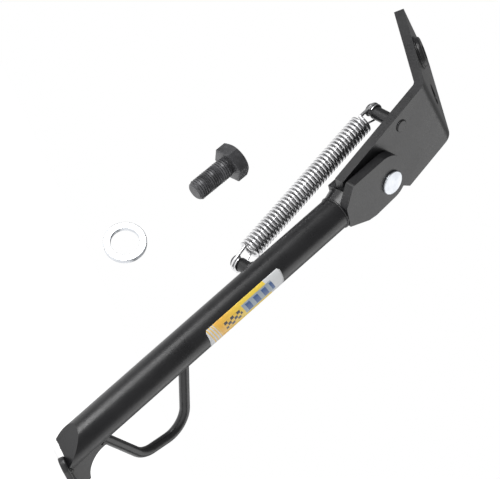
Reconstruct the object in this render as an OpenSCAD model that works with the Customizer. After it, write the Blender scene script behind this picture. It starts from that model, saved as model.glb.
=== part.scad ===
// Side stand for a small motorcycle: a bent bracket, a swinging tubular leg with
// a kick loop and a foot, a nested pair of over-centre springs, and the bolt and
// spring washer that fix the bracket to the frame.
//
// Row frame: origin at the bracket's threaded hole, on the face that the frame
// lug seats on. +X points to the front, nearly along the bracket's bend, +Y points
// outwards, +Z up. The stand is drawn lowered, with its foot plate level. The inner
// frames below are drawn with +X to the rear and mirrored once into the row.

/* [Bracket] */
// Thickness of the bracket plate
plate_t = 6; // [5:0.5:8]
// Pivot axis to the plate's front edge
plate_front = 26.5; // [24:0.5:32]
// Pivot axis to the plate's rear edge
plate_rear = 28; // [24:0.5:29]
// Pivot axis to the corner where the outer faces of plate and flange would meet
bend_height = 53.3; // [48:0.5:65]
// Angle that the flange is bent back by
bend_angle = 52; // [40:1:60]
// Inside radius of the bend
bend_r = 4; // [3:0.5:6]
// Length of the flange from that corner
flange_l = 61.5; // [56:0.5:75]
// Height of the rear edge's lower corner above the pivot axis
rear_corner_h = 13.5; // [10:0.5:18]
// Radius of the plate around the pivot
plate_boss_r = 19; // [16:0.5:21]
// Rounding of the flange's corners
flange_corner_r = 2; // [0.5:0.5:5]

/* [Bracket fixings] */
// Radius of the threaded hole's crest
thread_minor_r = 5.1; // [4.5:0.05:6.5]
// Outside radius of the threaded bush in the flange
bush_body_r = 7.5; // [7:0.25:8.5]
// Radius of the bush's collar
bush_collar_r = 9.3; // [9:0.1:12]
// Height of the collar
bush_collar_h = 3.4; // [2:0.1:6]
// Place of the threaded hole along the bend
bush_x = -14; // [-16:0.5:-10]
// Place of the threaded hole along the flange
bush_up = 34.5; // [28:0.5:46]
// Radius of the plain bolt hole
plain_hole_r = 6.5; // [5:0.25:8]
// Place of the plain hole along the bend
plain_hole_x = 5.6; // [0:0.2:18]
// Place of the plain hole along the flange
plain_hole_up = 16.7; // [14:0.1:20]

/* [Pivot] */
// Radius of the pivot pin's shank
pin_r = 5; // [4:0.25:6]
// Radius of the pin's flat end
pin_head_r = 7.5; // [6.5:0.25:9]
// How far the pin's ends stand out of the fork
pin_proud = 1.5; // [1:0.1:1.5]
// Outside radius of the sleeve that the bracket turns on
sleeve_r = 7; // [6.5:0.25:8]
// Outside radius of the thrust washers
thrust_r = 12; // [10:0.5:12.5]
// Thickness of a thrust washer
thrust_t = 1.2; // [0.8:0.1:2]

/* [Leg] */
// Outside radius of the leg tube
tube_r = 10; // [9:0.5:11]
// Wall of the leg tube
tube_wall = 2.5; // [1.5:0.25:4]
// Pivot axis to the point where the tube's axis meets the foot plate
leg_l = 252; // [220:1:300]
// Angle that the lowered leg points forward of the bracket plate's square line
leg_forward = 13.8; // [8:0.2:20]
// Outward lean of the bracket plate and the leg
lean = 25; // [15:1:32]
// Slope of the bracket's bend, rising to the rear
pitch = 8.6; // [0:0.2:12]

/* [Fork] */
// Thickness of a fork cheek
cheek_t = 6; // [5:0.5:8]
// Rounding of the cheeks above the pivot
cheek_r = 13; // [13:0.25:15]
// Reach of the front cheek's stop side
cheek_stop_side = 20; // [17:0.5:22]
// Pivot axis to the stop face inside the fork
stop_depth = 29.7; // [29.7:0.1:34]
// Pivot axis to the bottom of the fork's collar
fork_l = 37; // [36.5:0.5:44]
// Radius of the collar where it meets the cheeks
collar_r = 13; // [11:0.25:14]

/* [Springs] */
// Radius of the spring posts
post_r = 4; // [3.5:0.25:5]
// Distance of the springs behind the plate's middle
spring_back = 19.5; // [19.5:0.25:24]
// Bracket post, forward of the pivot axis
upper_post_x = 18; // [15:0.5:20]
// Bracket post, above the pivot axis
upper_post_h = 26.7; // [24:0.1:32]
// Leg post, distance from the pivot axis
lower_post_l = 98; // [92:1:110]
// Wire radius of the outer spring
outer_wire_r = 1; // [0.75:0.05:1.15]
// Mean coil radius of the outer spring
outer_coil_r = 5.5; // [5:0.1:5.7]
// Wire radius of the inner spring
inner_wire_r = 0.6; // [0.4:0.05:0.8]
// Mean coil radius of the inner spring
inner_coil_r = 3.4; // [2.8:0.1:3.6]
// Distance from a post's centre to the first turn
coil_inset = 9.5; // [9:0.5:14]

/* [Kick loop] */
// Radius of the loop's rod
rod_r = 3; // [2.5:0.25:3.5]
// Distance down the leg to the loop's upper end
loop_top = 163; // [140:1:166]
// Distance down the leg to the loop's lower end
loop_bottom = 228; // [220:1:230]
// Reach of the loop from the leg's axis at its upper bend
loop_reach_top = 54.5; // [46:0.5:62]
// Reach of the loop from the leg's axis at its lower bend
loop_reach_bottom = 48; // [40:0.5:54]
// Radius of the bends along the rod's middle
loop_bend_r = 15; // [8:0.5:16]

/* [Foot] */
// Thickness of the foot plate
pad_t = 3.5; // [3:0.5:6]
// Width of the foot plate outwards of the tube's axis
pad_out = 12; // [11:1:24]
// Width of the foot plate inwards of the tube's axis
pad_in = 6; // [5:1:16]
// Length of the foot plate ahead of the tube's axis
pad_ahead = 4; // [2:0.5:12]
// Length of the foot plate behind the tube's axis
pad_behind = 44; // [36:1:56]
// Rounding of the foot plate's corners
pad_corner_r = 5; // [3:0.5:8]
// Tube's axis to the line where its trimmed end leaves the foot plate
toe_start = 0; // [-4:0.5:6]
// Rise of the tube's trimmed end from that line
toe_angle = 56; // [20:1:60]
// Thickness of the gusset on the foot plate
gusset_t = 5; // [4:0.5:8]

/* [Loose bolt and washer] */
// Radius of the bolt's thread
bolt_r = 6; // [4:0.5:8]
// Length of the bolt under its head
bolt_l = 25; // [20:1:50]
// Size of the bolt's head across its flats
bolt_head_af = 19; // [13:0.5:24]
// Height of the bolt's head
bolt_head_h = 8; // [5:0.25:12]
// Outside radius of the spring washer
washer_r = 12.2; // [8:0.1:15]
// Radius of the spring washer's hole
washer_hole_r = 8.2; // [6.2:0.1:8.4]
// Thickness of the spring washer
washer_t = 3.5; // [2:0.25:5]

/* [Hidden] */
$fn = 96;
run_gap = 0.05;       // radial gap of the turning fit
seat_gap = 0.15;      // gap between a thrust washer and the plate
stop_gap = 0.2;       // gap at the stop and around pieces that only pass
weld_r = 1.3;         // half width of a weld bead
skin = 0.02;          // step between a bend and the straight parts it runs into
lap = 0.3;            // length that a straight part runs into a bend
hook_lap = 0.05;      // length that a hook's shank runs into the coil
bend_lap = 2;         // angle that the plate's bend runs into its flat parts

plate_half = plate_t / 2;
cheek_in = plate_half + seat_gap + thrust_t + seat_gap;
cheek_out = cheek_in + cheek_t;
bend_out_r = bend_r + plate_t;
bend_tangent = bend_out_r * tan(bend_angle / 2);
bend_y = plate_half - bend_out_r;
bend_z = bend_height - bend_tangent;
flange_run = flange_l - bend_tangent;
plate_w = plate_front + plate_rear;

stop_arm_in = 8;                       // inner side of the stop arm
stop_arm_l = stop_depth - stop_gap;

spring_run = [upper_post_x - lower_post_l * sin(leg_forward),
              lower_post_l * cos(leg_forward) + upper_post_h];
spring_l = norm(spring_run);
spring_turn = atan2(spring_run[0], spring_run[1]);
post_tip = spring_back + outer_wire_r + 2.2;
groove_w = outer_wire_r + 0.5;
groove_d = 0.7;
inner_back = spring_back;
outer_hook_r = post_r - groove_d + outer_wire_r + 0.15;
inner_hook_y = outer_wire_r + inner_wire_r + 0.45;
inner_hook_r = post_r + inner_wire_r + 0.1;
outer_pitch = 2 * outer_wire_r + 0.45;
inner_pitch = 2 * inner_wire_r + 0.9;
coil_run = spring_l - 2 * coil_inset;

pad_inner_front = 15;                  // inner front corner of the foot plate, behind the axis
gusset_arc_x = 19.9;                   // middle of the gusset's hollow, from the tube
gusset_arc_z = 22.9;                   // and above the foot plate
gusset_arc_r = 13.9;
gusset_tail = [[tube_r + 21, -leg_l + 5], [tube_r + 36, -leg_l + 2.5]];

// Points of an arc, from one angle to the other
function arc(cx, cy, r, from, to, steps = 16) =
    [for (i = [0:steps]) let (a = from + (to - from) * i / steps)
        [cx + r * cos(a), cy + r * sin(a)]];

// ---- frames ----

// Plate frame: X along the bend, Y out of the plate's middle, Z up the plate,
// origin on the pivot axis
module plate_frame() {
    mirror([1, 0, 0])
        translate(-hole_in_row())
            rotate([0, -pitch, 0])
                rotate([lean, 0, 0])
                    children();
}

// Leg frame: the leg runs down -Z, the loop stands out along +X
module leg_frame() {
    plate_frame()
        rotate([0, leg_forward, 0])
            children();
}

// Flange frame: Z up the flange, its outer face at Y = bend_out_r
module flange_frame() {
    translate([0, bend_y, bend_z])
        rotate([bend_angle, 0, 0])
            children();
}

// Spring frame: origin at the bracket post, the springs run down -Z
module spring_frame() {
    plate_frame()
        translate([-upper_post_x, -spring_back, upper_post_h])
            rotate([0, -spring_turn, 0])
                children();
}

// Level frame: row directions, origin where the tube's axis meets the foot plate
module foot_frame() {
    mirror([1, 0, 0])
        translate(-hole_in_row())
            translate(row_turn([-leg_l * sin(leg_forward), 0, -leg_l * cos(leg_forward)]))
                children();
}

// Place of the threaded hole's seat in the plate frame, then turned by the lean
function hole_in_plate() =
    let (up = bush_up - bend_tangent)
        [bush_x,
         bend_y + bend_r * cos(bend_angle) - up * sin(bend_angle),
         bend_z + bend_r * sin(bend_angle) + up * cos(bend_angle)];
function hole_in_row() = row_turn(hole_in_plate());

// Plate-frame vector turned by the lean and then the pitch
function row_turn(p) =
    let (y = p[1] * cos(lean) - p[2] * sin(lean),
         z = p[1] * sin(lean) + p[2] * cos(lean))
        [p[0] * cos(pitch) - z * sin(pitch), y, p[0] * sin(pitch) + z * cos(pitch)];

// Cylinder along Y between two depths
module y_cylinder(r, y0, y1) {
    translate([0, y0, 0])
        rotate([-90, 0, 0])
            cylinder(r = r, h = y1 - y0);
}

// Extrusion of an X-Z outline between two depths
module y_slab(y0, y1) {
    translate([0, y1, 0])
        rotate([90, 0, 0])
            linear_extrude(y1 - y0)
                children();
}

// Flat ring along Y
module y_ring(r_out, r_in, y0, y1) {
    difference() {
        y_cylinder(r_out, y0, y1);
        y_cylinder(r_in, y0 - 1, y1 + 1);
    }
}

// ---- bracket ----

// Lower part of the plate: panel, pivot boss and stop arm
module plate_outline() {
    intersection() {
        union() {
            polygon([[-plate_front, -4], [-plate_front, bend_z], [plate_rear, bend_z],
                     [plate_rear, rear_corner_h], [plate_boss_r * 0.6, 2], [0, -4]]);
            circle(r = plate_boss_r);
            rotate(-leg_forward)
                translate([-cheek_stop_side - plate_front, -stop_arm_l])
                    square([cheek_stop_side + plate_front - stop_arm_in, stop_arm_l]);
        }
        translate([-plate_front, -stop_arm_l - plate_front])
            square([plate_w, stop_arm_l + plate_front + bend_z]);
    }
}

// Flange outline with rounded top corners
module flange_outline() {
    r = flange_corner_r;
    polygon(concat([[-plate_front, 0]],
                   arc(-plate_front + r, flange_run - r, r, 180, 90, 6),
                   arc(plate_rear - r, flange_run - r, r, 90, 0, 6),
                   [[plate_rear, 0]]));
}

module bracket_plate() {
    color([0.16, 0.16, 0.17])
        plate_frame()
            difference() {
                union() {
                    y_slab(-plate_half, plate_half)
                        plate_outline();
                    translate([-plate_front, bend_y, bend_z])
                        rotate([90, 0, 90])
                            rotate([0, 0, -bend_lap])
                                rotate_extrude(angle = bend_angle + 2 * bend_lap)
                                    translate([bend_r + skin, skin])
                                        square([plate_t - 2 * skin, plate_w - 2 * skin]);
                    flange_frame()
                        y_slab(bend_r, bend_out_r)
                            flange_outline();
                }
                y_cylinder(sleeve_r + run_gap, -plate_t, plate_t);
                translate([-upper_post_x, 0, upper_post_h])
                    y_cylinder(post_r, -plate_t, plate_t);
                flange_frame() {
                    translate([bush_x, 0, bush_up - bend_tangent])
                        y_cylinder(bush_body_r, 0, bend_out_r + 1);
                    translate([plain_hole_x, 0, plain_hole_up - bend_tangent])
                        y_cylinder(plain_hole_r, 0, bend_out_r + 1);
                }
            }
}

// Threaded bush: body through the flange, collar on its outer face
module threaded_bush() {
    color([0.12, 0.12, 0.13])
        plate_frame()
            flange_frame()
                translate([bush_x, 0, bush_up - bend_tangent])
                    difference() {
                        union() {
                            y_cylinder(bush_body_r, bend_r, bend_out_r + 1);
                            y_cylinder(bush_collar_r, bend_out_r, bend_out_r + bush_collar_h - 0.8);
                            translate([0, bend_out_r + bush_collar_h - 0.8, 0])
                                rotate([-90, 0, 0])
                                    cylinder(r1 = bush_collar_r, r2 = bush_collar_r - 0.8, h = 0.8);
                        }
                        y_cylinder(thread_minor_r, 0, bend_out_r + bush_collar_h + 1);
                    }
}

// Weld bead around the bush on the flange's inner face
module bush_weld() {
    color([0.1, 0.1, 0.1])
        plate_frame()
            flange_frame()
                translate([bush_x, bend_out_r, bush_up - bend_tangent])
                    rotate([-90, 0, 0])
                        difference() {
                            cylinder(r1 = bush_collar_r + 1.2, r2 = bush_collar_r, h = 1.2);
                            translate([0, 0, -1])
                                cylinder(r = bush_collar_r, h = 4);
                        }
}

// Post with a groove for the outer hook and a tip that keeps the hooks on
module spring_post_body(root_y) {
    difference() {
        union() {
            y_cylinder(post_r, -post_tip + 0.8, root_y);
            translate([0, -post_tip, 0])
                rotate([-90, 0, 0])
                    cylinder(r1 = post_r - 0.8, r2 = post_r, h = 0.8);
        }
        y_ring(post_r + 1, post_r - groove_d, -spring_back - groove_w, -spring_back + groove_w);
    }
}

module bracket_spring_post() {
    color([0.14, 0.14, 0.15])
        plate_frame()
            translate([-upper_post_x, 0, upper_post_h])
                union() {
                    spring_post_body(plate_half + 0.4);
                    translate([0, plate_half + 0.4, 0])
                        rotate([-90, 0, 0])
                            cylinder(r1 = post_r, r2 = post_r - 1, h = 0.5);
                }
}

// ---- pivot ----

module pivot_pin() {
    color([0.85, 0.86, 0.88])
        plate_frame()
            union() {
                y_cylinder(pin_r, -cheek_out - pin_proud, cheek_out + 0.5);
                y_cylinder(pin_head_r, cheek_out, cheek_out + pin_proud - 0.3);
                translate([0, cheek_out + pin_proud - 0.3, 0])
                    rotate([-90, 0, 0])
                        cylinder(r1 = pin_head_r, r2 = pin_head_r - 0.3, h = 0.3);
            }
}

module pivot_sleeve() {
    color([0.6, 0.6, 0.62])
        plate_frame()
            y_ring(sleeve_r, pin_r, -cheek_in, cheek_in);
}

module thrust_washer(y0) {
    plate_frame()
        y_ring(thrust_r, sleeve_r + run_gap, y0, y0 + thrust_t);
}

module front_thrust_washer() {
    color([0.7, 0.7, 0.72])
        thrust_washer(cheek_in - thrust_t);
}

module rear_thrust_washer() {
    color([0.7, 0.7, 0.72])
        thrust_washer(-cheek_in);
}

// Washer that the pin's rear end is peened over
module pin_retainer() {
    color([0.8, 0.8, 0.82])
        plate_frame()
            y_ring(pin_head_r, pin_r, -cheek_out - pin_proud + 0.3, -cheek_out);
}

// ---- leg ----

// Front cheek: rounded above the pivot, wider on its stop side
module front_cheek_outline() {
    side = cheek_stop_side;
    polygon(concat(arc(0, 0, cheek_r, 0, 80),
                   arc(14 - side, -3, 14, 100, 180),
                   arc(4 - side, 3 - stop_depth, 4, 180, 215, 4),
                   [[-tube_r * 0.8, -fork_l + 0.5], [tube_r * 0.6, -fork_l + 0.5],
                    [cheek_r, -22], [cheek_r + 1, -16]]));
}

// Rear cheek: narrow below the pivot on its stop side
module rear_cheek_outline() {
    narrow = tube_r + 0.5;
    polygon(concat(arc(0, 0, cheek_r, 0, 180),
                   [[-narrow, -14], [-narrow, -fork_l + 1], [narrow, -fork_l + 1], [cheek_r, -22]]));
}

module leg_fork() {
    color([0.15, 0.15, 0.16])
        leg_frame()
            difference() {
                union() {
                    y_slab(cheek_in, cheek_out)
                        front_cheek_outline();
                    y_slab(-cheek_out, -cheek_in)
                        intersection() {
                            rear_cheek_outline();
                            translate([-50, -stop_depth])
                                square([100, 100]);
                        }
                    intersection() {
                        translate([0, 0, -fork_l])
                            cylinder(r1 = tube_r, r2 = collar_r, h = fork_l - 26);
                        translate([-50, -cheek_out, -fork_l])
                            cube([100, 2 * cheek_out, fork_l]);
                        difference() {
                            translate([-50, -50, -fork_l])
                                cube([100, 100, fork_l]);
                            translate([-50, -cheek_in, -stop_depth])
                                cube([100, 2 * cheek_in, stop_depth + 1]);
                        }
                    }
                }
                y_cylinder(pin_r, -cheek_out - 1, cheek_out + 1);
            }
}

// Half-space below the level top of the foot plate and below the trimmed toe
module foot_trim() {
    foot_frame() {
        translate([-80, -80, -80])
            cube([160, 160, 80]);
        translate([-toe_start, -80, 0])
            rotate([0, toe_angle, 0])
                translate([-120, 0, -80])
                    cube([120, 160, 80]);
    }
}

module leg_tube() {
    color([0.15, 0.15, 0.16])
        difference() {
            leg_frame()
                difference() {
                    translate([0, 0, -leg_l - 20])
                        cylinder(r = tube_r, h = leg_l + 20 - fork_l);
                    translate([0, 0, -leg_l - 21])
                        cylinder(r = tube_r - tube_wall, h = leg_l + 22 - fork_l);
                    translate([0, 0, -lower_post_l])
                        y_cylinder(post_r, -tube_r - 5, 0);
                }
            foot_trim();
        }
}

// Plate that closes the trimmed lower end of the tube
module tube_end_plate() {
    color([0.2, 0.2, 0.2])
        difference() {
            intersection() {
                leg_frame()
                    translate([0, 0, -leg_l - 20])
                        cylinder(r = tube_r - tube_wall, h = 60);
                translate([0, 0, 3])
                    foot_trim();
            }
            foot_trim();
        }
}

// Weld bead around a cylinder along Z
module ring_bead(r, bead) {
    rotate_extrude()
        translate([r, 0])
            circle(r = bead, $fn = 24);
}

module fork_weld() {
    color([0.1, 0.1, 0.1])
        leg_frame()
            translate([0, 0, -fork_l])
                difference() {
                    ring_bead(tube_r - 0.2, weld_r * 0.6);
                    translate([0, 0, -5])
                        cylinder(r = tube_r, h = 10);
                    cylinder(r = tube_r + 5, h = 5);
                }
}

module leg_spring_post() {
    color([0.14, 0.14, 0.15])
        leg_frame()
            translate([0, 0, -lower_post_l])
                spring_post_body(-tube_r + tube_wall);
}

module leg_post_weld() {
    color([0.1, 0.1, 0.1])
        leg_frame()
            translate([0, 0, -lower_post_l])
                difference() {
                    translate([0, -tube_r - 1.4, 0])
                        rotate([-90, 0, 0])
                            cylinder(r1 = post_r + 0.2, r2 = post_r + 2.2, h = 3);
                    y_cylinder(post_r, -tube_r - 5, 0);
                    translate([0, 0, -10])
                        cylinder(r = tube_r, h = 20);
                }
}

// ---- kick loop, drawn in the leg's X-Z plane ----

loop_pts = [[tube_r - 3, -loop_top],
            [loop_reach_top, -loop_top - 13],
            [loop_reach_bottom, -loop_bottom + 20.5],
            [tube_r - 3, -loop_bottom - 1.5]];
function unit(v) = v / norm(v);
function turn_of(i) =
    let (u = unit(loop_pts[i] - loop_pts[i - 1]), v = unit(loop_pts[i + 1] - loop_pts[i]))
        acos(u * v);
loop_root = unit(loop_pts[2] - loop_pts[3]) * 6;   // weld's reach along the rod
function cut_of(i) = loop_bend_r * tan(turn_of(i) / 2);
function bend_start(i) =
    loop_pts[i] - unit(loop_pts[i] - loop_pts[i - 1]) * cut_of(i);
function bend_end(i) =
    loop_pts[i] + unit(loop_pts[i + 1] - loop_pts[i]) * cut_of(i);

// Straight round bar between two points of the X-Z plane
module rod_round(r, a, b) {
    u = unit(b - a);
    translate([a[0] - lap * u[0], 0, a[1] - lap * u[1]])
        rotate([0, atan2(b[0] - a[0], b[1] - a[1]), 0])
            cylinder(r = r, h = norm(b - a) + 2 * lap, $fn = 48);
}

module rod_between(a, b) {
    rod_round(rod_r, a, b);
}

// Bent stretch of the rod at a corner of the path
module rod_bend(i) {
    u = unit(loop_pts[i] - loop_pts[i - 1]);
    start = bend_start(i);
    centre = start + loop_bend_r * [u[1], -u[0]];
    from = atan2(start[1] - centre[1], start[0] - centre[0]);
    translate([centre[0], 0, centre[1]])
        rotate([90, 0, 0])
            rotate([0, 0, from - turn_of(i)])
                rotate_extrude(angle = turn_of(i))
                    translate([loop_bend_r, 0])
                        circle(r = rod_r - skin, $fn = 48);
}

module kick_loop() {
    color([0.15, 0.15, 0.16])
        leg_frame()
            difference() {
                union() {
                    rod_between(loop_pts[0], bend_start(1));
                    rod_bend(1);
                    rod_between(bend_end(1), bend_start(2));
                    rod_bend(2);
                    rod_between(bend_end(2), loop_pts[3]);
                }
                translate([0, 0, -loop_bottom - 40])
                    cylinder(r = tube_r, h = loop_bottom);
            }
}

module kick_loop_welds() {
    color([0.1, 0.1, 0.1])
        leg_frame()
            difference() {
                for (i = [0, 3]) {
                    o = i == 0 ? loop_pts[1] : loop_pts[2];
                    u = unit(o - loop_pts[i]);
                    p = loop_pts[i] + u * (3.6 / u[0]);
                    translate([p[0], 0, p[1]])
                        rotate([0, atan2(u[0], u[1]), 0])
                            ring_bead(rod_r, weld_r);
                }
                translate([0, 0, -loop_bottom - 40])
                    cylinder(r = tube_r, h = loop_bottom);
                rod_between(loop_pts[0], bend_start(1));
                rod_between(loop_pts[3], bend_end(2));
            }
}

// ---- foot ----

// Foot plate with a slanted front edge
module foot_plate() {
    r = pad_corner_r;
    outer = [r - pad_ahead, pad_out - r];
    inner = [pad_inner_front, r - pad_in];
    slant = 270 + atan2(inner[1] - outer[1], inner[0] - outer[0]);
    color([0.13, 0.13, 0.14])
        foot_frame()
            translate([0, 0, -pad_t])
                linear_extrude(pad_t)
                    polygon(concat(arc(pad_behind - r, pad_out - r, r, 0, 90),
                                   arc(outer[0], outer[1], r, 90, slant),
                                   arc(inner[0], inner[1], r, slant, 270),
                                   arc(pad_behind - r, r - pad_in, r, 270, 360)));
}

// Gusset between the tube's rear side and the foot plate, hollowed by an arc
module foot_gusset() {
    color([0.17, 0.17, 0.18])
        difference() {
            leg_frame()
                y_slab(-gusset_t / 2, gusset_t / 2)
                    difference() {
                        polygon([[tube_r - 1, -leg_l - 20], loop_pts[3] + loop_root * 0.4,
                                 loop_pts[3] + loop_root * 2.3, gusset_tail[0], gusset_tail[1],
                                 [tube_r + 36, -leg_l - 20]]);
                        translate([tube_r + gusset_arc_x, -leg_l + gusset_arc_z])
                            circle(r = gusset_arc_r);
                    }
            foot_trim();
            leg_frame()
                translate([0, 0, -leg_l - 20])
                    cylinder(r = tube_r, h = 80);
            leg_frame()
                rod_round(rod_r + 0.05, loop_pts[3], bend_end(2));
            leg_frame()
                rod_round(rod_r + weld_r + 0.1, loop_pts[3], loop_pts[3] + loop_root);
        }
}

// Weld bead along both sides of the tube's foot
module foot_weld() {
    color([0.1, 0.1, 0.1])
        difference() {
            intersection() {
                leg_frame()
                    translate([0, 0, -leg_l - 20])
                        cylinder(r = tube_r + 1.8, h = 60);
                foot_frame()
                    translate([-toe_start, -tube_r - 3, 0])
                        cube([3 * tube_r, 2 * tube_r + 6, 1.8]);
            }
            leg_frame()
                translate([0, 0, -leg_l - 20])
                    cylinder(r = tube_r, h = 60);
            leg_frame()
                translate([0, -gusset_t / 2, -leg_l - 20])
                    cube([40, gusset_t, 60]);
        }
}

// Thin printed label wrapped on the tube's outer side
label_l = 58.5;
label_top = 91;
label_turn = 73;
label_from = -30;
label_t = 0.15;
module label() {
    color([0.95, 0.85, 0.2])
        leg_frame()
            translate([0, 0, -label_top - label_l])
                rotate([0, 0, 90 + label_from])
                    rotate_extrude(angle = label_turn)
                        translate([tube_r, 0])
                            square([label_t, label_l]);
}

// ---- springs ----

// Part of a ring around a post, in the spring's plane
module hook_ring(ring_r, wire_r, from, sweep) {
    rotate([90, 0, 0])
        rotate([0, 0, from])
            rotate_extrude(angle = sweep)
                translate([ring_r, 0])
                    circle(r = wire_r, $fn = 24);
}

// Straight wire between two points
module wire(a, b, wire_r) {
    d = b - a;
    translate(a)
        rotate([0, acos(d[2] / norm(d)), atan2(d[1], d[0])])
            cylinder(r = wire_r, h = norm(d), $fn = 24);
}

// Hook at a post: a ring, then a straight shank down to the coil's first turn
module spring_hook(ring_r, wire_r, coil_r, depth, reach) {
    translate([0, depth, 0])
        hook_ring(ring_r, wire_r * 0.9, -15, 195);
    wire([-ring_r, depth, lap], [-coil_r, 0, -reach], wire_r);
}

module outer_spring_upper_hook() {
    color([0.8, 0.8, 0.83])
        spring_frame()
            spring_hook(outer_hook_r, outer_wire_r, outer_hook_r, 0, coil_inset + hook_lap);
}

module outer_spring_lower_hook() {
    color([0.8, 0.8, 0.83])
        spring_frame()
            translate([0, 0, -spring_l])
                mirror([0, 0, 1])
                    spring_hook(outer_hook_r, outer_wire_r, outer_hook_r, 0, coil_inset - hook_lap);
}

module inner_spring_upper_hook() {
    color([0.7, 0.7, 0.73])
        spring_frame()
            mirror([1, 0, 0])
                spring_hook(inner_hook_r, inner_wire_r, inner_coil_r, inner_hook_y,
                                    coil_inset + hook_lap);
}

module inner_spring_lower_hook() {
    color([0.7, 0.7, 0.73])
        spring_frame()
            translate([0, 0, -spring_l])
                mirror([0, 0, 1])
                    mirror([1, 0, 0])
                        spring_hook(inner_hook_r, inner_wire_r, inner_coil_r, inner_hook_y,
                                    coil_inset - hook_lap);
}

// Solid of revolution that stands for a coil: a row of turns on a thin core
module turns(coil_r, wire_r, pitch) {
    count = floor((coil_run - 2 * wire_r) / pitch);
    step = (coil_run - 2 * wire_r) / count;
    translate([0, 0, -coil_inset])
        rotate_extrude() {
            for (i = [0:count])
                translate([coil_r, -wire_r - i * step])
                    circle(r = wire_r, $fn = 24);
            translate([coil_r - wire_r / 3, -coil_run + wire_r])
                square([2 * wire_r / 3, coil_run - 2 * wire_r]);
        }
}

module outer_spring_coil() {
    color([0.85, 0.85, 0.88])
        spring_frame()
            turns(outer_coil_r, outer_wire_r, outer_pitch);
}

module inner_spring_coil() {
    color([0.7, 0.7, 0.73])
        spring_frame()
            turns(inner_coil_r, inner_wire_r, inner_pitch);
}

// ---- loose fasteners, laid beside the stand ----

bolt_place = [41.7, 54.7, -130.4];
bolt_turn = [0, 23.4, -103.7];
washer_place = [28.8, 63.3, -199.5];
washer_turn = [0, 82.2, 13.8];

// Hexagon bolt, threaded to the head; the thread is a plain cylinder
module mounting_bolt() {
    chamfer = 1.2;
    corner_r = bolt_head_af / 2 / cos(30);
    color([0.13, 0.13, 0.13])
        translate(bolt_place)
            rotate(bolt_turn)
                union() {
                    translate([0, 0, -bolt_l])
                        cylinder(r1 = bolt_r - chamfer, r2 = bolt_r, h = chamfer);
                    translate([0, 0, -bolt_l + chamfer])
                        cylinder(r = bolt_r, h = bolt_l - chamfer + 1);
                    intersection() {
                        cylinder(r = corner_r, h = bolt_head_h, $fn = 6);
                        cylinder(r1 = corner_r + 3 * bolt_head_h, r2 = bolt_head_af / 2 - 0.3, h = bolt_head_h + 0.01);
                    }
                }
}

// Spring washer: a flat ring cut through at one place
module spring_washer() {
    color([0.75, 0.78, 0.82])
        translate(washer_place)
            rotate(washer_turn)
                rotate_extrude(angle = 352)
                    translate([washer_hole_r, -washer_t / 2])
                        square([washer_r - washer_hole_r, washer_t]);
}

bracket_plate();
threaded_bush();
bush_weld();
bracket_spring_post();
pivot_pin();
pivot_sleeve();
front_thrust_washer();
rear_thrust_washer();
pin_retainer();
leg_fork();
leg_tube();
fork_weld();
leg_spring_post();
leg_post_weld();
kick_loop();
kick_loop_welds();
tube_end_plate();
foot_gusset();
foot_plate();
foot_weld();
label();
outer_spring_upper_hook();
outer_spring_coil();
outer_spring_lower_hook();
inner_spring_upper_hook();
inner_spring_coil();
inner_spring_lower_hook();
mounting_bolt();
spring_washer();
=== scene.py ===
"""Side stand of a small motorcycle: finishes, rounded edges, springs, welds, threads and studio."""

from __future__ import annotations

import logging
import math
import random
from dataclasses import dataclass, field
from enum import Enum

import bmesh
import bpy
from mathutils import Matrix, Vector, noise


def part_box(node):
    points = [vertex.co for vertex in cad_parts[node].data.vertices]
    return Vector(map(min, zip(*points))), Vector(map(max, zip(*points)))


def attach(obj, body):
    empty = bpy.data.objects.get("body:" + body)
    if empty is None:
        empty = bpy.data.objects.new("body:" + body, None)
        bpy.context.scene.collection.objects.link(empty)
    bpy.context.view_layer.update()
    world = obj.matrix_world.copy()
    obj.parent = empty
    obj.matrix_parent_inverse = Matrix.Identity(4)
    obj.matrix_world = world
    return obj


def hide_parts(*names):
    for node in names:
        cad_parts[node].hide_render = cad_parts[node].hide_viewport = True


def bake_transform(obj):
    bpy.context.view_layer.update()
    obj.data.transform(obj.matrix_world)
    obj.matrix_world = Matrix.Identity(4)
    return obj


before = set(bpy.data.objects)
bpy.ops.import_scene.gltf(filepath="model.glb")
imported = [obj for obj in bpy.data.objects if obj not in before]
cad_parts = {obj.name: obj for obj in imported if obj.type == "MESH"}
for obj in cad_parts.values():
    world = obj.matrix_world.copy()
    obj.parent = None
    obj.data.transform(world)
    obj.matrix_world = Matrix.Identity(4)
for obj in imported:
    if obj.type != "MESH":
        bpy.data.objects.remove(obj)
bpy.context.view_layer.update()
LOG = logging.getLogger("side_stand")
MM = 0.001
FLOOR_GLOW = 0.75
MERGE_GAP = 2e-6
FLAT_ANGLE = math.radians(0.8)
ROUND_ANGLE = math.radians(34)
RIPPLE_STEP = 1.7


# ---------------------------------------------------------------- places


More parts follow.
